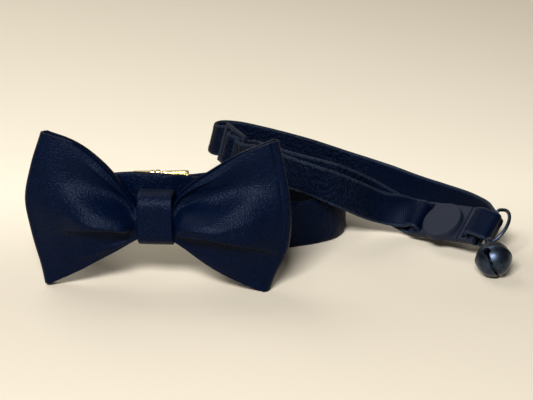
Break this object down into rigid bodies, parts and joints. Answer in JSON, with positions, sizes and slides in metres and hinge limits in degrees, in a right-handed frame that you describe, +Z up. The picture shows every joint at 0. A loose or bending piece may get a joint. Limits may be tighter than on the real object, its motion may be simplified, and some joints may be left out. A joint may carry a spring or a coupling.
{
  "type": "cat collar",
  "caption": "Cat's dress collar laid flat: a satin bow tie on its own wide neck band, and a narrow adjustable collar with breakaway buckle and bell.",
  "frame": {"origin": "middle of the laid-out collar's box, on the floor that it rests on", "axes": "+X along the bow towards the buckle end, +Y away from the bow's face, +Z up from the floor"},
  "size_m": [0.145, 0.087, 0.0473],
  "materials": {
    "bow_satin": "black satin with a soft sheen",
    "band_satin": "black satin with a soft sheen",
    "strap_webbing": "black ribbed satin webbing",
    "gilt": "polished pale gold",
    "black_plastic": "smooth matte black",
    "black_metal": "dark glossy plating"
  },
  "bodies": {
    "root": {"bow_loop": "bow_satin", "bow_knot": "bow_satin", "neck_band": "band_satin", "collar_strap": "strap_webbing", "clasp_hook": "gilt", "clasp_eye": "gilt", "slider": "black_plastic", "buckle_socket": "black_plastic", "buckle_prong": "black_plastic", "d_ring": "black_metal", "bell": "black_metal", "bell_pellet": "black_metal"}
  },
  "joints": []
}
